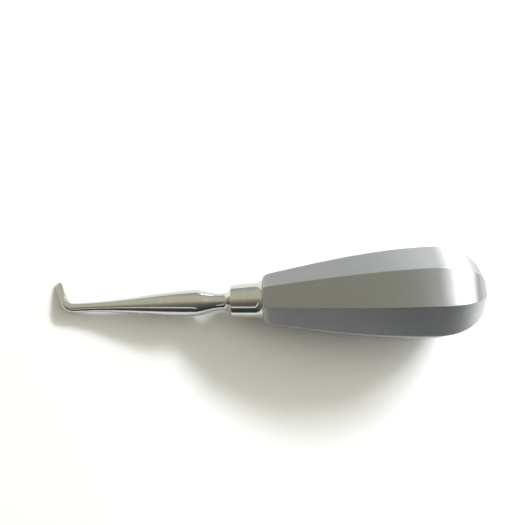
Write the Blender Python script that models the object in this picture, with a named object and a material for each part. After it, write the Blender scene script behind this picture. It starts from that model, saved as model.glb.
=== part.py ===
"""A dental elevator: a curved blade on a polished shank, held in a hollow eight-sided handle.

Everything is drawn along the instrument's own axis: u runs from the blade (negative) to the butt
(positive) with its zero at the handle's front face, v is sideways and w is up. The parts hang on one
empty, which tilts that axis so that the instrument lies on its lower facet and on its blade.
"""

import math

import bmesh
import bpy
from mathutils import Vector

MM = 0.001
GAP = 0.3 * MM  # between pieces that meet

# Handle: eight flats, pear-shaped along its length
SIDES = 8
HALF_SIDE = math.pi / SIDES  # angle from a facet's middle to its crest
APOTHEM = math.cos(HALF_SIDE)  # facet distance for a crest radius of 1
HANDLE_LENGTH = 73.8 * MM
FRONT_RADIUS = 7.9 * MM  # crest radius at the front face
SHOULDER_U = 2.6 * MM  # where the rounded front shoulder becomes the taper
SHOULDER_RADIUS = 9.4 * MM
SHOULDER_SLOPE = 0.186
WIDEST_U = 55.7 * MM
WIDEST_RADIUS = 16.0 * MM
DOME_POWER = 2.17  # superellipse of the rounded butt
POLE_RADIUS = 1.6 * MM  # small flat at the centre of the butt
CREST_ROUNDING = 0.45 * MM
WALL = 1.0 * MM

# Where the lower facet rests
REST_U = 36.0 * MM
LAND_LENGTH = 7.0 * MM

# Ferrule between the handle and the shank: (u, radius) of its outside
FERRULE_FRONT_U = -13.9 * MM
FERRULE_RIM_U = -11.1 * MM
FERRULE_REAR_U = -2.7 * MM
FERRULE_LIP_RADIUS = 2.95 * MM
FERRULE_RIM_RADIUS = 5.75 * MM
FERRULE_REAR_RADIUS = 6.2 * MM
FERRULE_FLANGE_RADIUS = 7.25 * MM
FERRULE_BORE = 2.5 * MM
SPIGOT_RADIUS = 5.4 * MM
SPIGOT_END_U = 4.0 * MM

# Working end: shank, neck and tang
NECK_RADIUS = 2.9 * MM
NECK_U = -15.2 * MM
BALUSTER_U = -24.1 * MM
BALUSTER_RADIUS = 4.63 * MM
THIN_U = -62.0 * MM
THIN_RADIUS = 1.75 * MM
JOURNAL_RADIUS = FERRULE_BORE - GAP
TANG_HALF = 1.9 * MM
TANG_START_U = 4.2 * MM
TANG_END_U = 16.0 * MM

# Blade: turned sideways out of the shank, then flattened and slightly hollowed on top
BEND_U = -70.1 * MM  # where the shank's and the blade's centrelines cross
BEND_ANGLE = math.radians(64)
BEND_RADIUS = 4.0 * MM
BLADE_LENGTH = 10.7 * MM  # from that crossing to the end
BLADE_HALF_WIDTH = 1.3 * MM
BLADE_EDGE = 0.3 * MM  # half thickness left at the end
BLADE_END_ROUNDING = 1.35 * MM
BLADE_HOLLOW = 0.25 * MM
BLADE_SQUARENESS = 2.4
BLADE_SCOOP_END = 2.5 * MM  # the hollow closes over this distance from the end
BLADE_LIFT = 0.03 * MM  # keeps the whole underside on or above the table

# Socket inside the handle's neck, and the pin that locks the tang in it
SOCKET_START_U = SPIGOT_END_U + GAP
SOCKET_END_U = 14.5 * MM
PIN_U = 9.5 * MM
PIN_RADIUS = 0.9 * MM

RING = 32  # points around the turned and lofted pieces
TURNED_STEPS = 48

SATIN_STEEL = ("satin_steel", (0.60, 0.61, 0.60), 0.36)
POLISHED_STEEL = ("polished_steel", (0.66, 0.66, 0.63), 0.12)
PLAIN_STEEL = ("plain_steel", (0.50, 0.50, 0.49), 0.5)


def clear_scene():
    for old in list(bpy.data.objects):
        bpy.data.objects.remove(old)


def material(name, colour, roughness):
    made = bpy.data.materials.get(name) or bpy.data.materials.new(name)
    made.use_nodes = True
    shader = made.node_tree.nodes["Principled BSDF"]
    shader.inputs["Base Color"].default_value = (*colour, 1)
    shader.inputs["Metallic"].default_value = 1.0
    shader.inputs["Roughness"].default_value = roughness
    return made


def smooth_step(t):
    t = min(max(t, 0), 1)
    return t * t * (3 - 2 * t)


# ---------------------------------------------------------------- outlines


def taper_radius(u):
    """Crest radius between the shoulder and the widest section: a cubic that ends level."""
    span = WIDEST_U - SHOULDER_U
    t = (u - SHOULDER_U) / span
    level = t * t * (3 - 2 * t)
    start = 1 - level
    slope = t * (1 - t) ** 2 * span
    return start * SHOULDER_RADIUS + level * WIDEST_RADIUS + slope * SHOULDER_SLOPE


def land():
    """The two ends of the flat that the instrument rests on, as (u, crest radius)."""
    ends = (REST_U - LAND_LENGTH / 2, REST_U + LAND_LENGTH / 2)
    return [(u, taper_radius(u)) for u in ends]


def rest_tilt():
    (u0, r0), (u1, r1) = land()
    return math.atan(APOTHEM * (r1 - r0) / (u1 - u0))


def table_level(u):
    """w of the surface under the instrument, below its axis at u."""
    (u0, r0), _ = land()
    return -APOTHEM * r0 - math.tan(rest_tilt()) * (u - u0)


def shoulder_outline(steps=5):
    """The handle's front edge, rounded from its front face into the taper."""
    rise = SHOULDER_RADIUS - FRONT_RADIUS
    lead = SHOULDER_SLOPE * SHOULDER_U
    points = []
    for i in range(steps):
        t = i / steps
        arc = math.sqrt(1 - (1 - t) ** 2)
        points.append((t * SHOULDER_U, FRONT_RADIUS + (rise - lead) * arc + lead * t))
    return points


def taper_outline(steps=14):
    """Stations along the taper, with the flat land kept as one straight stretch."""
    flat = land()
    spaced = [SHOULDER_U + (WIDEST_U - SHOULDER_U) * i / steps for i in range(steps + 1)]
    outside = [u for u in spaced if not flat[0][0] - MM < u < flat[1][0] + MM]
    return sorted([(u, taper_radius(u)) for u in outside] + flat)


def dome_outline(steps=13):
    """The rounded butt, from the widest section to the small flat at its pole."""
    length = HANDLE_LENGTH - WIDEST_U
    last = math.acos((POLE_RADIUS / WIDEST_RADIUS) ** (DOME_POWER / 2))
    points = []
    for i in range(1, steps + 1):
        angle = last * i / steps
        along = math.sin(angle) ** (2 / DOME_POWER)
        across = math.cos(angle) ** (2 / DOME_POWER)
        points.append((WIDEST_U + length * along, WIDEST_RADIUS * across))
    return points


def handle_outline():
    return shoulder_outline() + taper_outline() + dome_outline()


def cavity_outline():
    """The inside of the handle: the outside moved in by the wall, and run out past the front."""
    outside = handle_outline()
    inside = []
    for before, here, after in zip(outside, outside[1:], outside[2:]):
        along = Vector((after[0] - before[0], after[1] - before[1])).normalized()
        inside.append((here[0] + along.y * WALL, here[1] - along.x * WALL / APOTHEM))
    mouth = inside[4]  # behind the rounded shoulder, so that the mouth keeps one width
    body = [p for p in inside[5:] if p[1] > POLE_RADIUS]
    return [(-2 * MM, mouth[1]), mouth] + body


def shank_radius(u):
    """Radius of the round shank: thin behind the blade, swelling to the baluster, then the neck."""
    if u <= BALUSTER_U:
        t = (u - THIN_U) / (BALUSTER_U - THIN_U)
        t = min(max(t, 0), 1)
        return THIN_RADIUS + (BALUSTER_RADIUS - THIN_RADIUS) * (0.2 * t + 0.8 * smooth_step(t))
    t = (u - BALUSTER_U) / (NECK_U - BALUSTER_U)
    return BALUSTER_RADIUS + (NECK_RADIUS - BALUSTER_RADIUS) * smooth_step(t)


# ---------------------------------------------------------------- meshes


def add_object(name, bm, finish, parent):
    bmesh.ops.recalc_face_normals(bm, faces=bm.faces)
    mesh = bpy.data.meshes.new(name)
    bm.to_mesh(mesh)
    bm.free()
    mesh.shade_smooth()
    mesh.set_sharp_from_angle(angle=math.radians(28))
    made = bpy.data.objects.new(name, mesh)
    bpy.context.scene.collection.objects.link(made)
    made.parent = parent
    if finish:
        mesh.materials.append(material(*finish))
    return made


def as_cutter(obj):
    obj.hide_render = True
    obj.display_type = "WIRE"
    return obj


def cut(target, cutter):
    boolean = target.modifiers.new("cut_" + cutter.name, "BOOLEAN")
    boolean.operation = "DIFFERENCE"
    boolean.solver = "EXACT"
    boolean.object = cutter


def loft(bm, rings):
    """A closed skin through rings that have the same number of points."""
    made = [[bm.verts.new(p) for p in ring] for ring in rings]
    for first, second in zip(made, made[1:]):
        for i in range(len(first)):
            j = (i + 1) % len(first)
            bm.faces.new((first[i], first[j], second[j], second[i]))
    bm.faces.new(made[0])
    bm.faces.new(made[-1])


def turned(name, outline, finish, parent, steps=TURNED_STEPS):
    """A piece turned about the axis from a closed outline of (u, radius) that stays off the axis."""
    bm = bmesh.new()
    loop = [bm.verts.new((u, 0, r)) for u, r in outline]
    edges = [bm.edges.new((a, b)) for a, b in zip(loop, loop[1:] + loop[:1])]
    bmesh.ops.spin(
        bm, geom=loop + edges, cent=(0, 0, 0), axis=(1, 0, 0), angle=math.tau, steps=steps, use_merge=True
    )
    return add_object(name, bm, finish, parent)


def octagon_ring(u, radius):
    """Eight crests of that radius, each rounded, with a facet facing straight up and straight down."""
    rounding = min(CREST_ROUNDING, 0.25 * radius)
    centre = radius - rounding / APOTHEM
    ring = []
    for k in range(SIDES):
        crest = HALF_SIDE + k * 2 * HALF_SIDE
        for turn in (-HALF_SIDE, 0, HALF_SIDE):
            v = centre * math.cos(crest) + rounding * math.cos(crest + turn)
            w = centre * math.sin(crest) + rounding * math.sin(crest + turn)
            ring.append((u, v, w))
    return ring


def octagon_body(name, outline, finish, parent):
    bm = bmesh.new()
    loft(bm, [octagon_ring(u, r) for u, r in outline])
    return add_object(name, bm, finish, parent)


def box(name, low, high, parent):
    bm = bmesh.new()
    bmesh.ops.create_cube(bm, size=1)
    low, high = Vector(low), Vector(high)
    for vert in bm.verts:
        vert.co = (low + high) / 2 + Vector(a * b for a, b in zip(vert.co, high - low))
    return as_cutter(add_object(name, bm, None, parent))


# ---------------------------------------------------------------- the pieces


def handle_shells(parent):
    """Two pressed half shells that meet along the middle of the side facets."""
    cavity = as_cutter(octagon_body("cavity_cutter", cavity_outline(), None, parent))
    reach = 2 * WIDEST_RADIUS
    for name, side in (("handle_shell_upper", 1), ("handle_shell_lower", -1)):
        shell = octagon_body(name, handle_outline(), SATIN_STEEL, parent)
        edges = sorted((side * GAP / 2, -side * reach))
        away = box(name + "_trim", (-reach, -reach, edges[0]), (HANDLE_LENGTH * 2, reach, edges[1]), parent)
        cut(shell, cavity)
        cut(shell, away)


def ferrule(parent):
    """A turned collar: a hollowed front flare, a slightly coned barrel, a flange and a spigot."""
    flare_steps = 5
    outline = []
    for i in range(flare_steps + 1):
        t = i / flare_steps
        u = FERRULE_FRONT_U + (FERRULE_RIM_U - FERRULE_FRONT_U) * t
        outline.append((u, FERRULE_LIP_RADIUS + (FERRULE_RIM_RADIUS - FERRULE_LIP_RADIUS) * t * t))
    end = -GAP
    for i in range(flare_steps + 1):
        t = i / flare_steps
        u = FERRULE_REAR_U + (end - FERRULE_REAR_U) * t
        outline.append((u, FERRULE_REAR_RADIUS + (FERRULE_FLANGE_RADIUS - FERRULE_REAR_RADIUS) * t * t))
    outline += [(end, SPIGOT_RADIUS), (SPIGOT_END_U, SPIGOT_RADIUS)]
    outline += [(SPIGOT_END_U, FERRULE_BORE), (FERRULE_FRONT_U, FERRULE_BORE)]
    return turned("ferrule", outline, POLISHED_STEEL, parent)


def section(place, heading, half_width, half_thickness, hollow=0.0, squareness=2.0):
    """One ring of the working end: centred at place, square to a heading in the u-v plane."""
    across = Vector((math.sin(heading), math.cos(heading), 0))
    ring = []
    for i in range(RING):
        angle = math.tau * i / RING
        c, s = math.cos(angle), math.sin(angle)
        side = math.copysign(abs(c) ** (2 / squareness), c)
        up = math.copysign(abs(s) ** (2 / squareness), s)
        rise = half_thickness * up - (hollow * (1 - side * side) if up > 0 else 0)
        ring.append(Vector(place) + across * (half_width * side) + Vector((0, 0, rise)))
    return ring


def tang_rings():
    """From the tang's end forward: a square tang, then the round journal in the ferrule's bore."""
    chamfer = 0.6 * MM
    square = 8.0
    rings = [section((TANG_END_U, 0, 0), 0, TANG_HALF - chamfer, TANG_HALF - chamfer, 0, square)]
    rings += [
        section((u, 0, 0), 0, TANG_HALF, TANG_HALF, 0, square)
        for u in (TANG_END_U - chamfer, TANG_START_U)
    ]
    rings += [
        section((u, 0, 0), 0, JOURNAL_RADIUS, JOURNAL_RADIUS)
        for u in (TANG_START_U, FERRULE_FRONT_U - GAP)
    ]
    return rings


def shank_rings():
    neck = [FERRULE_FRONT_U - GAP, NECK_U]
    swell = [NECK_U + (BALUSTER_U - NECK_U) * i / 8 for i in range(1, 9)]
    taper = [BALUSTER_U + (THIN_U - BALUSTER_U) * i / 16 for i in range(1, 17)]
    return [section((u, 0, 0), 0, shank_radius(u), shank_radius(u)) for u in neck + swell + taper]


def blade_path(steps_bend=6, steps_blade=9):
    """(place, heading, distance left to the end) around the bend and along the blade."""
    setback = BEND_RADIUS * math.tan(BEND_ANGLE / 2)
    straight = BLADE_LENGTH - setback
    arc = BEND_RADIUS * BEND_ANGLE
    start = Vector((BEND_U + setback, 0, 0))
    path = []
    for i in range(steps_bend + 1):
        turn = BEND_ANGLE * i / steps_bend
        step = Vector((-math.sin(turn), 1 - math.cos(turn), 0)) * BEND_RADIUS
        path.append((start + step, turn, straight + arc - BEND_RADIUS * turn))
    corner = path[-1][0]
    ahead = Vector((-math.cos(BEND_ANGLE), math.sin(BEND_ANGLE), 0))
    for i in range(1, steps_blade + 1):
        left = straight * math.cos(math.pi / 2 * i / steps_blade)
        left = max(left, 0.04 * MM)
        path.append((corner + ahead * (straight - left), BEND_ANGLE, left))
    return path, straight + arc


def blade_rings():
    """The blade thins from the shank's round to a rounded edge, and its underside comes down to the table."""
    path, whole = blade_path()
    rings = []
    for place, heading, left in path:
        t = 1 - left / whole
        flatten = smooth_step(t / 0.75)
        half_width = THIN_RADIUS + (BLADE_HALF_WIDTH - THIN_RADIUS) * smooth_step(t / 0.6)
        half_thickness = THIN_RADIUS + (BLADE_EDGE - THIN_RADIUS) * t**3
        if left < BLADE_END_ROUNDING:
            round_off = math.sqrt(1 - (1 - left / BLADE_END_ROUNDING) ** 2)
            half_width *= round_off
            half_thickness *= 0.5 + 0.5 * round_off
        floor = table_level(place.x) + half_thickness + BLADE_LIFT
        centre = Vector((place.x, place.y, floor * flatten))
        hollow = BLADE_HOLLOW * flatten * smooth_step(left / BLADE_SCOOP_END)
        squareness = 2 + (BLADE_SQUARENESS - 2) * flatten
        rings.append(section(centre, heading, half_width, half_thickness, hollow, squareness))
    return rings


def working_end(parent, pin_hole):
    """Blade, shank, baluster, neck, journal and tang: one forging."""
    bm = bmesh.new()
    loft(bm, tang_rings() + shank_rings() + blade_rings())
    forging = add_object("working_end", bm, POLISHED_STEEL, parent)
    cut(forging, pin_hole)
    return forging


def tang_socket(parent, pin_hole):
    """An eight-sided plug that fits the handle's neck and holds the square tang."""
    inside = cavity_outline()

    def fitted(u):
        for (u0, r0), (u1, r1) in zip(inside, inside[1:]):
            if u0 <= u <= u1:
                return r0 + (r1 - r0) * (u - u0) / (u1 - u0) - GAP / APOTHEM

    stations = [SOCKET_START_U, (SOCKET_START_U + SOCKET_END_U) / 2, SOCKET_END_U]
    plug = octagon_body("tang_socket", [(u, fitted(u)) for u in stations], PLAIN_STEEL, parent)
    half = TANG_HALF + GAP
    cut(plug, box("square_cutter", (0, -half, -half), (SOCKET_END_U * 2, half, half), parent))
    cut(plug, pin_hole)
    return plug


def cross_piece(name, radius, reach, bevel, finish, parent):
    """A round bar across the axis at the pin's place, with chamfered ends."""
    bm = bmesh.new()
    stations = [(-reach, radius - bevel), (-reach + bevel, radius), (reach - bevel, radius), (reach, radius - bevel)]
    rings = []
    for v, r in stations:
        turns = [math.tau * i / 24 for i in range(24)]
        rings.append([(PIN_U + r * math.cos(a), v, r * math.sin(a)) for a in turns])
    loft(bm, rings)
    return add_object(name, bm, finish, parent)


def build():
    clear_scene()
    instrument = bpy.data.objects.new("instrument", None)
    bpy.context.scene.collection.objects.link(instrument)
    tilt = rest_tilt()
    instrument.rotation_euler = (0, -tilt, 0)

    pin_hole = as_cutter(cross_piece("pin_hole_cutter", PIN_RADIUS + GAP, WIDEST_RADIUS, 0, None, instrument))
    handle_shells(instrument)
    ferrule(instrument)
    end = working_end(instrument, pin_hole)
    tang_socket(instrument, pin_hole)
    cross_piece("tang_pin", PIN_RADIUS, 6.2 * MM, 0.25 * MM, PLAIN_STEEL, instrument)

    # The origin is on the table, under the middle of the instrument's length.
    butt = HANDLE_LENGTH * math.cos(tilt) + POLE_RADIUS * APOTHEM * math.sin(tilt)
    tip = min((v.co.x * math.cos(tilt) - v.co.z * math.sin(tilt)) for v in end.data.vertices)
    instrument.location = (-(butt + tip) / 2, 0, -table_level(0) * math.cos(tilt))


build()
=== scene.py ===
"""The looks of the dental elevator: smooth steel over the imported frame, on a pale floor."""

import math

import bmesh
import bpy
import numpy as np
from mathutils import Matrix, Vector


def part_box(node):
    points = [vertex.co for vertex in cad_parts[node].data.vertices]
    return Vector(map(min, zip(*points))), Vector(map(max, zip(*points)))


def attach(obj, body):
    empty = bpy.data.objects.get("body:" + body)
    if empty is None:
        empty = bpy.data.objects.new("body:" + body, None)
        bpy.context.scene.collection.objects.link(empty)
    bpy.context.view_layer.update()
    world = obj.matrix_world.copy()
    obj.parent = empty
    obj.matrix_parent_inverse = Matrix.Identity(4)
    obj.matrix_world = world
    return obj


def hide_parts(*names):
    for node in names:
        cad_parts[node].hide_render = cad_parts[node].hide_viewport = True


MM = 0.001

# The instrument's own axis: u runs from the blade (negative) to the butt, and is zero at the
# handle's front face. The main lengths and radii are those of the CAD part.
SIDES = 8
HALF_SIDE = math.pi / SIDES
APOTHEM = math.cos(HALF_SIDE)
FRONT_RADIUS = 7.9 * MM
SHOULDER_U = 2.6 * MM
SHOULDER_RADIUS = 9.4 * MM
SHOULDER_SLOPE = 0.186
WIDEST_U = 55.7 * MM
WIDEST_RADIUS = 16.0 * MM
DOME_LENGTH = 18.04 * MM
DOME_POWER = 2.17
BUTT_REACH = 0.152 * MM  # how far the butt's small flat reaches past its centre, as it lies
CREST_ROUNDING = 0.45 * MM
CREST_SHARE = 0.25  # the rounding's limit near the butt, as a share of the radius there
WALL = 1.0 * MM
HOLLOW_RADIUS = 0.02 * MM  # the hollow closes to this at the butt
HOLLOW_FRONT_U = 5.0 * MM  # in front of this the wall is taken straight inwards
SEAM = 0.02 * MM  # hairline left between pieces that are joined
SHARP_ANGLE = math.radians(32)

REST_U = 36.0 * MM
LAND_LENGTH = 7.0 * MM

FERRULE_FRONT_U = -13.9 * MM
FERRULE_RIM_U = -11.1 * MM
FERRULE_REAR_U = -2.7 * MM
FERRULE_LIP_RADIUS = 2.95 * MM
FERRULE_RIM_RADIUS = 5.75 * MM
FERRULE_REAR_RADIUS = 6.2 * MM
FERRULE_FLANGE_RADIUS = 7.25 * MM
FERRULE_RIM_EDGE = 0.22 * MM  # fine radii that break its edges
FERRULE_REAR_EDGE = 0.15 * MM
FERRULE_BORE = 2.5 * MM
SPIGOT_RADIUS = 5.4 * MM
SPIGOT_END_U = 4.0 * MM
TURNED_STEPS = 144

NECK_RADIUS = 2.9 * MM
NECK_U = -15.2 * MM
BALUSTER_U = -24.1 * MM
BALUSTER_RADIUS = 4.63 * MM
THIN_U = -62.0 * MM
THIN_RADIUS = 1.75 * MM
EVEN_TAPER = 0.2  # share of the shank's swelling that is a straight taper
JOURNAL_RADIUS = 2.2 * MM
TANG_HALF = 1.9 * MM
TANG_CHAMFER = 0.6 * MM
TANG_SQUARENESS = 8.0
TANG_START_U = 4.2 * MM
TANG_END_U = 16.0 * MM

BEND_U = -70.1 * MM
BEND_ANGLE = math.radians(64)
BEND_RADIUS = 4.0 * MM
BLADE_LENGTH = 10.7 * MM
BLADE_HALF_WIDTH = 1.3 * MM
BLADE_EDGE = 0.3 * MM
BLADE_END_ROUNDING = 1.35 * MM
BLADE_HOLLOW = 0.25 * MM
BLADE_SQUARENESS = 2.4
BLADE_SCOOP_END = 2.5 * MM
BLADE_LIFT = 0.03 * MM
BLADE_FLAT_FROM = 0.75  # share of the way from the bend's start to the tip where it is flat
BLADE_NARROW_FROM = 0.6  # and where it is as narrow as the blade
BLADE_TIP_SHARE = 0.5  # of the thickness, left right at the tip
BLADE_TIP = 0.01 * MM  # the last station is this far from the tip
RING = 72  # points around the working end

CLOUDS = 160.0  # cells per metre of the steel's uneven tone
HAZE = 28.0  # and of the satin's faint tint
HAZE_TINTS = (0.97, 1.0, 0.985), (1.0, 0.985, 1.0)
BRUSHED_SHARE = 0.6  # of the tone; the clouds make up the rest
BRUSHING = 0.75  # how much more the handle's gloss spreads across its brushing, from 0 to 1
# rubbed crests with a painted highlight: this colour brightens the crests along their whole length
WORN_AND_HIGHLIGHT_COLOUR = (0.72, 0.72, 0.71)
WORN_AND_HIGHLIGHT_SHARE = 0.8
WORN_GLOSS = 0.2  # how much smoother the worn crests are
POLISHED = (0.66, 0.655, 0.61), (0.6, 0.595, 0.55)

# The stage: the floor is pale around the instrument, and greyer further out
FLOOR_RADIUS = 4.0
FLOOR_CENTRE = (0.02, 0.135, 0)
FLOOR_FADE = (0.235, 0.33)  # how far from its centre it starts to grey, and is all grey
FLOOR_NEAR = (0.9, 0.884, 0.856)
FLOOR_FAR = (0.24, 0.25, 0.25)

# How bright the room is towards the front (-1) and the back (+1), seen from the instrument
ROOM = [
    (-1.0, (0.04, 0.05, 0.08)),
    (-0.9, (0.045, 0.053, 0.07)),
    (-0.7, (0.11, 0.112, 0.11)),
    (-0.4, (0.17, 0.158, 0.135)),
    (-0.05, (0.37, 0.355, 0.28)),
    (0.14, (0.6, 0.585, 0.47)),
    (0.4, (0.64, 0.62, 0.5)),
    (0.75, (0.64, 0.64, 0.56)),
    (1.0, (0.44, 0.48, 0.47)),
]
BACKDROP = (0.72, 0.72, 0.71)  # the plain wall that is seen behind the instrument from the side

DAYLIGHT = (0.97, 0.985, 1.0)
WALL_LIGHT = (0.92, 0.97, 1.0)
# Soft panels: name, azimuth and elevation in degrees, distance and size in metres, radiance,
# colour, and whether the panel shows only as a reflection in the steel
PANELS = [
    ("window", 41, 28.2, 1.6, (0.6, 0.166), 101.0, (0.93, 0.98, 1.07), False),
    ("window_glow", 40, 28, 1.64, (1.15, 0.6), 3.6, DAYLIGHT, False),
    ("window_left", 61, 28, 1.62, (0.36, 0.166), 38.0, DAYLIGHT, True),
    ("window_right", 22, 28, 1.62, (0.22, 0.166), 60.0, DAYLIGHT, True),
    ("low_window", 80, 9, 1.2, (0.2, 0.07), 6.0, (0.95, 0.98, 1.0), False),
    ("bright_wall", 8, 33, 0.6, (0.42, 0.54), 1.7, WALL_LIGHT, False),
    ("pale_wall", 8, 66, 0.6, (0.42, 0.16), 0.8, WALL_LIGHT, False),
    ("strip", -125, 39, 0.6, (0.6, 0.085), 0.8, (1.0, 0.97, 0.9), False),
]

LENS = 36.0  # in mm, as is the sensor's width
CAMERA_FROM_HANDLE_FRONT = (-4.51 * MM, -20.78 * MM, 180.25 * MM)
CAMERA_TURN = (10.698, -1.05, -1.823)  # degrees


def smooth_step(t):
    t = np.clip(t, 0, 1)
    return t * t * (3 - 2 * t)


# ---------------------------------------------------------------- outlines


def taper_radius(u):
    """The crest circle's radius between the shoulder and the widest place."""
    span = WIDEST_U - SHOULDER_U
    t = (u - SHOULDER_U) / span
    level = t * t * (3 - 2 * t)
    lead = t * (1 - t) ** 2 * span * SHOULDER_SLOPE
    return (1 - level) * SHOULDER_RADIUS + level * WIDEST_RADIUS + lead


def rest_tilt():
    """How far the axis tilts when the lowest facet lies flat on its land."""
    low, high = REST_U - LAND_LENGTH / 2, REST_U + LAND_LENGTH / 2
    return math.atan(APOTHEM * (taper_radius(high) - taper_radius(low)) / LAND_LENGTH)


TILT = rest_tilt()
AXIS_LEVEL = APOTHEM * taper_radius(REST_U - LAND_LENGTH / 2)


def table_level(u):
    """Where the table is, below the axis, at a station."""
    return -AXIS_LEVEL - math.tan(TILT) * (u - REST_U + LAND_LENGTH / 2)


def with_tangents(points):
    """The points of an outline, and its direction at each."""
    points = np.array(points)
    return points, np.gradient(points, axis=0)


def shoulder_outline(steps=14):
    rise = SHOULDER_RADIUS - FRONT_RADIUS
    lead = SHOULDER_SLOPE * SHOULDER_U
    t = 1 - np.cos(np.linspace(0, math.pi / 2, steps + 1))
    radius = FRONT_RADIUS + (rise - lead) * np.sqrt(1 - (1 - t) ** 2) + lead * t
    return with_tangents(np.stack([t * SHOULDER_U, radius], -1))


def taper_outline(steps=80):
    u = np.linspace(SHOULDER_U, WIDEST_U, steps + 1)
    return with_tangents(np.stack([u, taper_radius(u)], -1))


def dome_outline(steps=44):
    angle = np.linspace(0, math.pi / 2, steps + 1)
    angle[-1] -= 1e-4  # just short of the pole, where the ring would shrink to a point
    along = np.sin(angle) ** (2 / DOME_POWER)
    across = np.cos(angle) ** (2 / DOME_POWER)
    return with_tangents(np.stack([WIDEST_U + DOME_LENGTH * along, WIDEST_RADIUS * across], -1))


def handle_outline():
    """Stations along the handle and the direction of its outline at each."""
    (first, first_way), *rest = shoulder_outline(), taper_outline(), dome_outline()
    places = np.concatenate([first] + [points[1:] for points, _ in rest])
    ways = np.concatenate([first_way] + [way[1:] for _, way in rest])
    ways /= np.linalg.norm(ways, axis=1, keepdims=True)
    return places, ways


def shank_radius(u):
    """It swells from the thin end to the bulge, and falls again to the neck."""
    if u > BALUSTER_U:
        t = (u - BALUSTER_U) / (NECK_U - BALUSTER_U)
        return BALUSTER_RADIUS + (NECK_RADIUS - BALUSTER_RADIUS) * smooth_step(t)
    t = (u - THIN_U) / (BALUSTER_U - THIN_U)
    swell = EVEN_TAPER * t + (1 - EVEN_TAPER) * smooth_step(t)
    return THIN_RADIUS + (BALUSTER_RADIUS - THIN_RADIUS) * swell


# ---------------------------------------------------------------- placing

AXIS_TO_ROW = Matrix.Identity(4)  # set once the frame is loaded


def place_instrument():
    """The instrument's axis in the row's frame: tilted, its butt touching the box's far side."""
    turn = Matrix.Rotation(-TILT, 4, "Y")
    butt = (turn @ Vector((WIDEST_U + DOME_LENGTH, 0, 0))).x
    far_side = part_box("handle_shell_lower")[1][0]
    lift = -table_level(0) * math.cos(TILT)
    return Matrix.Translation((far_side - butt - BUTT_REACH, 0, lift)) @ turn


def add_object(name, verts, faces, nodes, loop_normals=None):
    """A smooth piece around the frame's own, given in the instrument's axes."""
    mesh = bpy.data.meshes.new(name)
    mesh.from_pydata([AXIS_TO_ROW @ Vector(p) for p in verts], [], faces)
    mesh.update()
    if loop_normals is None:
        bm = bmesh.new()
        bm.from_mesh(mesh)
        bmesh.ops.recalc_face_normals(bm, faces=bm.faces)
        bm.to_mesh(mesh)
        bm.free()
    mesh.shade_smooth()
    if loop_normals is not None:
        turn = AXIS_TO_ROW.to_3x3()
        mesh.normals_split_custom_set([turn @ Vector(n) for n in loop_normals])
    else:
        mesh.set_sharp_from_angle(angle=SHARP_ANGLE)
    made = bpy.data.objects.new(name, mesh)
    bpy.context.scene.collection.objects.link(made)
    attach(made, "root")
    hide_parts(*nodes)
    return made


# ---------------------------------------------------------------- handle


def half_ring(arc_steps=8, facet_steps=4):
    """Around half an octagon: each entry is a crest's angle, the turn within that crest, and the
    share of the flat behind it, which is None where the two shells meet."""
    ring = [(HALF_SIDE, 0.0, None)]
    for k in range(SIDES // 2):
        crest = HALF_SIDE + 2 * k * HALF_SIDE
        ring += [(crest, turn, 0.0) for turn in np.linspace(-HALF_SIDE, HALF_SIDE, arc_steps + 1)]
        if k < SIDES // 2 - 1:
            ring += [(crest, HALF_SIDE, share) for share in np.linspace(0, 1, facet_steps + 1)[1:-1]]
    ring.append((math.pi - HALF_SIDE, 0.0, None))
    return ring


def ring_point(entry, radius, side):
    """Place and outward direction across the axis, the lean from the crest, and how rubbed the crest is,
    which also sets a painted highlight.
    """
    crest, turn, share = entry
    rounding = min(CREST_ROUNDING, CREST_SHARE * radius)
    centre = radius - rounding / APOTHEM

    def on_crest(at, within):
        heading = np.array([math.cos(at), math.sin(at)])
        turned = np.array([math.cos(at + within), math.sin(at + within)])
        return centre * heading + rounding * turned

    if share is None:
        away = 1 if crest < math.pi / 2 else -1
        place = np.array([away * (centre * APOTHEM + rounding), SEAM / 2])
        return place * (1, side), np.array([away, 0.0]), APOTHEM, 0.0
    place = on_crest(crest, turn)
    if share > 0:
        place = place * (1 - share) + on_crest(crest + 2 * HALF_SIDE, -HALF_SIDE) * share
    facing = crest + turn
    # the crests are rubbed, and this mask also paints a highlight along them
    worn_and_highlight = max(0.0, 1 - abs(turn) / HALF_SIDE) if share == 0 else 0.0
    return place * (1, side), np.array([math.cos(facing), math.sin(facing) * side]), math.cos(turn), worn_and_highlight


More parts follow.
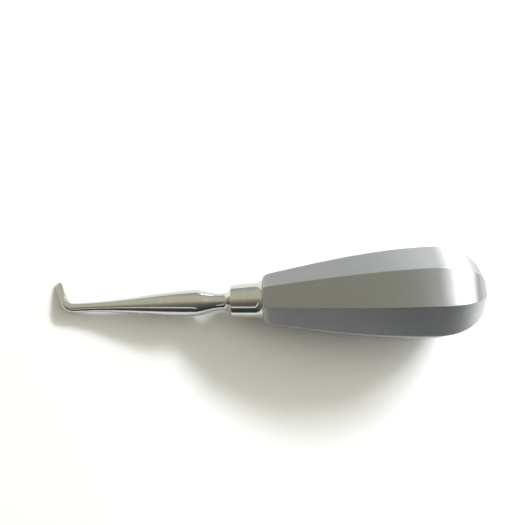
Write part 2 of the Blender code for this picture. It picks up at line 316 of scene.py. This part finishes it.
def shell(name, node, side):
    """One hollow half of the handle, on the side +1 or -1, its normals taken from the shape."""
    places, ways = handle_outline()
    ring = half_ring()
    count = len(ring)
    verts, normals, wear_and_highlight = [], [], []
    for (u, r), (du, dr) in zip(places, ways):
        for entry in ring:
            spot, out, lean, worn_and_highlight = ring_point(entry, r, side)
            verts.append((u, *spot))
            n = Vector((-dr * lean, du * out[0], du * out[1]))
            normals.append(n.normalized() if n.length > 1e-9 else Vector((1, 0, 0)))
            wear_and_highlight.append(worn_and_highlight)
    outer = len(verts)
    for (u, r), (du, dr) in zip(places, ways):
        inner_r = max(r - WALL * du / APOTHEM, HOLLOW_RADIUS)
        inner_u = u + WALL * dr if u > HOLLOW_FRONT_U else u
        inner_u = min(inner_u, WIDEST_U + DOME_LENGTH - WALL)
        for entry in ring:
            spot, out, _, _ = ring_point(entry, inner_r, side)
            verts.append((inner_u, *spot))
            normals.append(Vector((0, -out[0], -out[1])))
    faces, loops = [], []

    def face(corners, facing=None):
        if side > 0:
            corners = corners[::-1]
        faces.append(corners)
        loops.extend(normals[c] if facing is None else facing for c in corners)

    seam = Vector((0, 0, -side))
    last = count - 1
    end = (len(places) - 1) * count
    for a in range(0, end, count):
        b = a + count
        for j in range(count - 1):
            face((a + j, b + j, b + j + 1, a + j + 1))
            face((outer + a + j, outer + a + j + 1, outer + b + j + 1, outer + b + j))
        face((a, outer + a, outer + b, b), seam)
        face((a + last, b + last, outer + b + last, outer + a + last), seam)
    for j in range(count - 1):
        face((j, j + 1, outer + j + 1, outer + j), Vector((-1, 0, 0)))
        face((end + j, outer + end + j, outer + end + j + 1, end + j + 1), Vector((1, 0, 0)))
    made = add_object(name, verts, faces, [node], loops)
    # the crests' rub mask, which also places a painted highlight
    attribute = made.data.attributes.new("wear_and_highlight", "FLOAT", "POINT")
    attribute.data.foreach_set("value", np.array(wear_and_highlight + [0.0] * outer, dtype=np.float32))
    return made


# ---------------------------------------------------------------- turned and lofted pieces


def arc(centre, radius, start, end, steps=8):
    """Points on an arc, its start and end in degrees."""
    return [
        (centre[0] + radius * math.cos(a), centre[1] + radius * math.sin(a))
        for a in np.linspace(math.radians(start), math.radians(end), steps + 1)
    ]


def flare(start, end, steps=16):
    """Points on a flare that steepens as it goes, short of its end."""
    (start_u, start_radius), (end_u, end_radius) = start, end
    return [
        (start_u + (end_u - start_u) * t, start_radius + (end_radius - start_radius) * t * t)
        for t in np.linspace(0, 1, steps + 1)[:-1]
    ]


def bridge(a, b, count):
    """Faces between two closed rings of count points each, which start at points a and b."""
    return [(a + j, a + (j + 1) % count, b + (j + 1) % count, b + j) for j in range(count)]


def ferrule():
    """A turned collar: a flared lip, a plain body and a flange, its edges broken by fine radii."""
    front = FERRULE_FRONT_U + SEAM
    rim = FERRULE_RIM_U + SEAM
    outline = flare((front, FERRULE_LIP_RADIUS), (rim, FERRULE_RIM_RADIUS))
    rim_centre = (rim + FERRULE_RIM_EDGE, FERRULE_RIM_RADIUS - FERRULE_RIM_EDGE)
    outline += arc(rim_centre, FERRULE_RIM_EDGE, 150, 90)
    outline += flare((FERRULE_REAR_U, FERRULE_REAR_RADIUS), (-SEAM, FERRULE_FLANGE_RADIUS))
    flange_centre = (-SEAM - FERRULE_REAR_EDGE, FERRULE_FLANGE_RADIUS - FERRULE_REAR_EDGE)
    outline += arc(flange_centre, FERRULE_REAR_EDGE, 100, 0, 5)
    outline += [(-SEAM, SPIGOT_RADIUS), (SPIGOT_END_U, SPIGOT_RADIUS)]
    outline += [(SPIGOT_END_U, FERRULE_BORE), (front, FERRULE_BORE)]
    verts = [
        (u, r * math.cos(a), r * math.sin(a))
        for a in np.linspace(0, math.tau, TURNED_STEPS, endpoint=False)
        for u, r in outline
    ]
    count = len(outline)
    faces = []
    for i in range(TURNED_STEPS):
        faces += bridge(i * count, (i + 1) % TURNED_STEPS * count, count)
    return add_object("ferrule_skin", verts, faces, ["ferrule"])


def section(place, heading, half_width, half_thickness, hollow=0.0, squareness=2.0):
    """A ring across the working end: round, or squarer, or hollowed from above."""
    across = Vector((math.sin(heading), math.cos(heading), 0))
    ring = []
    for i in range(RING):
        angle = math.tau * i / RING
        c, s = math.cos(angle), math.sin(angle)
        side = math.copysign(abs(c) ** (2 / squareness), c)
        up = math.copysign(abs(s) ** (2 / squareness), s)
        rise = half_thickness * up - (hollow * (1 - side * side) if up > 0 else 0)
        ring.append(Vector(place) + across * (half_width * side) + Vector((0, 0, rise)))
    return ring


def straight_section(u, half, squareness=2.0):
    return section((u, 0, 0), 0, half, half, 0, squareness)


def tang_rings():
    rings = [straight_section(TANG_END_U, TANG_HALF - TANG_CHAMFER, TANG_SQUARENESS)]
    for u in (TANG_END_U - TANG_CHAMFER, TANG_START_U):
        rings.append(straight_section(u, TANG_HALF, TANG_SQUARENESS))
    for u in (TANG_START_U, FERRULE_FRONT_U):
        rings.append(straight_section(u, JOURNAL_RADIUS))
    return rings


def shank_rings():
    neck = np.linspace(FERRULE_FRONT_U, NECK_U, 5)
    swell = np.linspace(NECK_U, BALUSTER_U, 33)[1:]
    taper = np.linspace(BALUSTER_U, THIN_U, 73)[1:]
    return [straight_section(u, shank_radius(u)) for u in (*neck, *swell, *taper)]


def blade_path(steps_bend=26, steps_blade=30):
    """Around the bend and out to the tip: place, heading and length left at each station."""
    setback = BEND_RADIUS * math.tan(BEND_ANGLE / 2)
    straight = BLADE_LENGTH - setback
    arc_length = BEND_RADIUS * BEND_ANGLE
    start = Vector((BEND_U + setback, 0, 0))
    path = []
    for i in range(steps_bend + 1):
        turn = BEND_ANGLE * i / steps_bend
        step = Vector((-math.sin(turn), 1 - math.cos(turn), 0)) * BEND_RADIUS
        path.append((start + step, turn, straight + arc_length - BEND_RADIUS * turn))
    corner = path[-1][0]
    ahead = Vector((-math.cos(BEND_ANGLE), math.sin(BEND_ANGLE), 0))
    for i in range(1, steps_blade + 1):
        left = max(straight * math.cos(math.pi / 2 * i / steps_blade), BLADE_TIP)
        path.append((corner + ahead * (straight - left), BEND_ANGLE, left))
    return path, straight + arc_length


def blade_rings():
    """The shank flattens into the blade, which thins towards its tip and lies on the table."""
    path, whole = blade_path()
    rings = []
    for place, heading, left in path:
        t = 1 - left / whole
        flatten = smooth_step(t / BLADE_FLAT_FROM)
        narrow = smooth_step(t / BLADE_NARROW_FROM)
        half_width = THIN_RADIUS + (BLADE_HALF_WIDTH - THIN_RADIUS) * narrow
        half_thickness = THIN_RADIUS + (BLADE_EDGE - THIN_RADIUS) * t**3
        if left < BLADE_END_ROUNDING:
            round_off = math.sqrt(1 - (1 - left / BLADE_END_ROUNDING) ** 2)
            half_width *= round_off
            half_thickness *= BLADE_TIP_SHARE + (1 - BLADE_TIP_SHARE) * round_off
        lying = table_level(place.x) + half_thickness + BLADE_LIFT
        centre = Vector((place.x, place.y, lying * flatten))
        hollow = BLADE_HOLLOW * flatten * smooth_step(left / BLADE_SCOOP_END)
        squareness = 2 + (BLADE_SQUARENESS - 2) * flatten
        rings.append(section(centre, heading, half_width, half_thickness, hollow, squareness))
    return rings


def working_end():
    rings = tang_rings() + shank_rings() + blade_rings()
    verts = [p for ring in rings for p in ring]
    tip = len(verts) - RING
    faces = [tuple(range(RING))[::-1], tuple(range(tip, len(verts)))]
    for a in range(0, tip, RING):
        faces += bridge(a, a + RING, RING)
    return add_object("working_end_skin", verts, faces, ["working_end"])


# ---------------------------------------------------------------- materials


class Nodes:
    """Short names for building a node tree."""

    def __init__(self, tree):
        self.tree = tree
        tree.nodes.clear()

    def add(self, kind, **settings):
        node = self.tree.nodes.new(kind)
        for key, value in settings.items():
            setattr(node, key, value)
        return node

    def link(self, source, target):
        self.tree.links.new(source, target)

    def noise(self, vector, scale, detail=2.0):
        node = self.add("ShaderNodeTexNoise")
        node.inputs["Scale"].default_value = scale
        node.inputs["Detail"].default_value = detail
        self.link(vector, node.inputs["Vector"])
        return node.outputs["Fac"]

    def remap(self, value, low, high):
        """Stretches a noise, which stays between 0.3 and 0.7, over a range."""
        node = self.add("ShaderNodeMapRange")
        for key, number in (("From Min", 0.3), ("From Max", 0.7), ("To Min", low), ("To Max", high)):
            node.inputs[key].default_value = number
        self.link(value, node.inputs["Value"])
        return node.outputs["Result"]

    def maths(self, operation, first, second):
        node = self.add("ShaderNodeMath", operation=operation)
        for socket, value in zip(node.inputs, (first, second)):
            if isinstance(value, (int, float)):
                socket.default_value = value
            else:
                self.link(value, socket)
        return node.outputs[0]

    def mix(self, factor, first, second, blend="MIX"):
        node = self.add("ShaderNodeMix", data_type="RGBA", blend_type=blend)
        for name, value in (("Factor", factor), ("A", first), ("B", second)):
            if isinstance(value, tuple):
                node.inputs[name].default_value = (*value, 1)
            elif isinstance(value, (int, float)):
                node.inputs[name].default_value = value
            else:
                self.link(value, node.inputs[name])
        return node.outputs["Result"]


def steel(name, light, dark, roughness, spread, grain, bump=None, worn_and_highlight=False):
    """Steel with a grain along the instrument's axis.

    grain is (along, across) in cells per metre, and bump is (strength, distance). Worn steel has a
    faint tint, and is smoother where the crests are rubbed; there its colour is also painted brighter,
    as a highlight along the crests.
    """
    made = bpy.data.materials.new(name)
    made.use_nodes = True
    n = Nodes(made.node_tree)
    out = n.add("ShaderNodeOutputMaterial")
    shader = n.add("ShaderNodeBsdfPrincipled")
    shader.inputs["Metallic"].default_value = 1.0
    n.link(shader.outputs["BSDF"], out.inputs["Surface"])
    coordinates = n.add("ShaderNodeTexCoord").outputs["Object"]
    lay = n.add("ShaderNodeMapping")
    lay.inputs["Rotation"].default_value = (0, TILT, 0)
    lay.inputs["Scale"].default_value = (grain[0], grain[1], grain[1])
    n.link(coordinates, lay.inputs["Vector"])
    brushed = n.noise(lay.outputs["Vector"], 1.0, 3.0)
    cloudy = n.noise(coordinates, CLOUDS, 3.0)
    lines = n.maths("MULTIPLY", brushed, BRUSHED_SHARE)
    tone = n.maths("ADD", lines, n.maths("MULTIPLY", cloudy, 1 - BRUSHED_SHARE))
    colour = n.mix(n.remap(tone, 0, 1), dark, light)
    rough = n.remap(tone, roughness - spread, roughness + spread)
    if worn_and_highlight:
        haze = n.mix(n.remap(n.noise(coordinates, HAZE, 1.0), 0, 1), *HAZE_TINTS)
        colour = n.mix(1.0, colour, haze, "MULTIPLY")
        # rubbed crests are smoother, and their colour is painted brighter as a highlight
        wear_and_highlight = n.add("ShaderNodeAttribute", attribute_name="wear_and_highlight").outputs["Fac"]
        patchy_wear_and_highlight = n.maths("MULTIPLY", wear_and_highlight, n.remap(cloudy, 0.4, 1.0))
        colour = n.mix(n.maths("MULTIPLY", patchy_wear_and_highlight, WORN_AND_HIGHLIGHT_SHARE), colour, WORN_AND_HIGHLIGHT_COLOUR)
        rough = n.maths("SUBTRACT", rough, n.maths("MULTIPLY", patchy_wear_and_highlight, WORN_GLOSS))
    n.link(colour, shader.inputs["Base Color"])
    n.link(rough, shader.inputs["Roughness"])
    if bump:
        relief = n.add("ShaderNodeBump")
        relief.inputs["Strength"].default_value = bump[0]
        relief.inputs["Distance"].default_value = bump[1]
        n.link(brushed, relief.inputs["Height"])
        n.link(relief.outputs["Normal"], shader.inputs["Normal"])
    return made


def brush_lengthwise(made):
    """Spreads the gloss across the brushing, around the instrument's axis."""
    n = made.node_tree
    shader = next(node for node in n.nodes if node.type == "BSDF_PRINCIPLED")
    shader.inputs["Anisotropic"].default_value = BRUSHING
    around = n.nodes.new("ShaderNodeVectorMath")
    around.operation = "CROSS_PRODUCT"
    around.inputs[0].default_value = (math.cos(TILT), 0, math.sin(TILT))
    n.links.new(n.nodes.new("ShaderNodeNewGeometry").outputs["Normal"], around.inputs[1])
    n.links.new(around.outputs["Vector"], shader.inputs["Tangent"])


def satin_steel():
    light, dark = (0.45, 0.452, 0.455), (0.4, 0.402, 0.405)
    made = steel("satin_handle_steel", light, dark, 0.38, 0.03, (70, 2600), worn_and_highlight=True)
    brush_lengthwise(made)
    return made


def forging_steel():
    fine = (0.05, 0.00001)
    return steel("polished_forging_steel", *POLISHED, 0.11, 0.03, (120, 2200), fine)


def ferrule_steel():
    """Its faint lines run around it, as it was turned."""
    fine = (0.04, 0.00001)
    return steel("polished_ferrule_steel", *POLISHED, 0.09, 0.02, (2200, 300), fine)


def socket_steel():
    light, dark = (0.5, 0.5, 0.49), (0.4, 0.4, 0.39)
    return steel("plain_socket_steel", light, dark, 0.45, 0.06, (1500, 300), (0.1, 0.00002))


# ---------------------------------------------------------------- stage


def floor():
    bm = bmesh.new()
    bmesh.ops.create_circle(bm, cap_ends=True, segments=96, radius=FLOOR_RADIUS)
    mesh = bpy.data.meshes.new("floor")
    bm.to_mesh(mesh)
    bm.free()
    made = bpy.data.objects.new("floor", mesh)
    bpy.context.scene.collection.objects.link(made)
    paper = bpy.data.materials.new("floor_paper")
    paper.use_nodes = True
    n = Nodes(paper.node_tree)
    out = n.add("ShaderNodeOutputMaterial")
    shader = n.add("ShaderNodeBsdfPrincipled")
    shader.inputs["Roughness"].default_value = 0.9
    shader.inputs["Specular IOR Level"].default_value = 0.2
    n.link(shader.outputs["BSDF"], out.inputs["Surface"])
    coordinates = n.add("ShaderNodeTexCoord").outputs["Object"]
    shift = n.add("ShaderNodeVectorMath", operation="SUBTRACT")
    n.link(coordinates, shift.inputs[0])
    shift.inputs[1].default_value = FLOOR_CENTRE
    length = n.add("ShaderNodeVectorMath", operation="LENGTH")
    n.link(shift.outputs[0], length.inputs[0])
    fade = n.add("ShaderNodeMapRange", interpolation_type="SMOOTHSTEP")
    fade.inputs["From Min"].default_value, fade.inputs["From Max"].default_value = FLOOR_FADE
    n.link(length.outputs["Value"], fade.inputs["Value"])
    n.link(n.mix(fade.outputs["Result"], FLOOR_NEAR, FLOOR_FAR), shader.inputs["Base Color"])
    made.data.materials.append(paper)


def room():
    """Light from all around, brighter towards the back, behind a plain wall for the camera."""
    world = bpy.data.worlds.new("room")
    bpy.context.scene.world = world
    world.use_nodes = True
    n = Nodes(world.node_tree)
    out = n.add("ShaderNodeOutputWorld")
    background = n.add("ShaderNodeBackground")
    backdrop = n.add("ShaderNodeBackground")
    backdrop.inputs["Color"].default_value = (*BACKDROP, 1)
    seen = n.add("ShaderNodeMixShader")
    n.link(n.add("ShaderNodeLightPath").outputs["Is Camera Ray"], seen.inputs["Fac"])
    n.link(background.outputs["Background"], seen.inputs[1])
    n.link(backdrop.outputs["Background"], seen.inputs[2])
    n.link(seen.outputs["Shader"], out.inputs["Surface"])
    split = n.add("ShaderNodeSeparateXYZ")
    n.link(n.add("ShaderNodeTexCoord").outputs["Generated"], split.inputs["Vector"])
    place = n.maths("ADD", n.maths("MULTIPLY", split.outputs["Y"], 0.5), 0.5)
    ramp = n.add("ShaderNodeValToRGB")
    stops = ramp.color_ramp.elements
    while len(stops) > 1:
        stops.remove(stops[-1])
    stops[0].position = 0.0
    stops[0].color = (*ROOM[0][1], 1)
    for where, colour in ROOM[1:]:
        stops.new((where + 1) / 2).color = (*colour, 1)
    n.link(place, ramp.inputs["Fac"])
    n.link(ramp.outputs["Color"], background.inputs["Color"])


def area_light(name, azimuth, elevation, distance, size, radiance, colour, only_reflected):
    """A soft panel that faces the instrument."""
    data = bpy.data.lights.new(name, "AREA")
    data.shape = "RECTANGLE"
    data.size, data.size_y = size
    data.energy = radiance * math.pi * size[0] * size[1]
    data.color = colour
    made = bpy.data.objects.new(name, data)
    az, el = math.radians(azimuth), math.radians(elevation)
    away = Vector((math.cos(az) * math.cos(el), math.sin(az) * math.cos(el), math.sin(el)))
    made.location = away * distance
    made.rotation_euler = away.to_track_quat("Z", "Y").to_euler()
    made.visible_diffuse = not only_reflected
    bpy.context.scene.collection.objects.link(made)


def camera():
    """Its place is given from the front of the handle, on the axis, as the instrument lies."""
    data = bpy.data.cameras.new("camera")
    data.sensor_width = LENS
    data.lens = LENS
    data.clip_start = 0.01
    made = bpy.data.objects.new("camera", data)
    made.location = AXIS_TO_ROW.translation + Vector(CAMERA_FROM_HANDLE_FRONT)
    made.rotation_euler = [math.radians(a) for a in CAMERA_TURN]
    bpy.context.scene.collection.objects.link(made)
    bpy.context.scene.camera = made


# ---------------------------------------------------------------- all together

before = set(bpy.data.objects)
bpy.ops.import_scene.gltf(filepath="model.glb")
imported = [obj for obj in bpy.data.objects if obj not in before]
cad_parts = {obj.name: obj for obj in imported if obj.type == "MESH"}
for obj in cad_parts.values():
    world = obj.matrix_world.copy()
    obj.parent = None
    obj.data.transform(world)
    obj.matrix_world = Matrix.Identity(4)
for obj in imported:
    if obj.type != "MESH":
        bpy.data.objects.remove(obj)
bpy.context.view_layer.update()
AXIS_TO_ROW = place_instrument()

satin = satin_steel()
for piece, look in (
    (shell("handle_skin_upper", "handle_shell_upper", 1), satin),
    (shell("handle_skin_lower", "handle_shell_lower", -1), satin),
    (ferrule(), ferrule_steel()),
    (working_end(), forging_steel()),
):
    piece.data.materials.append(look)
plain = socket_steel()
for node in ("tang_socket", "tang_pin"):
    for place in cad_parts[node].material_slots:
        place.material = plain

floor()
room()
for panel in PANELS:
    area_light(*panel)
camera()
bpy.context.scene.view_settings.view_transform = "Standard"
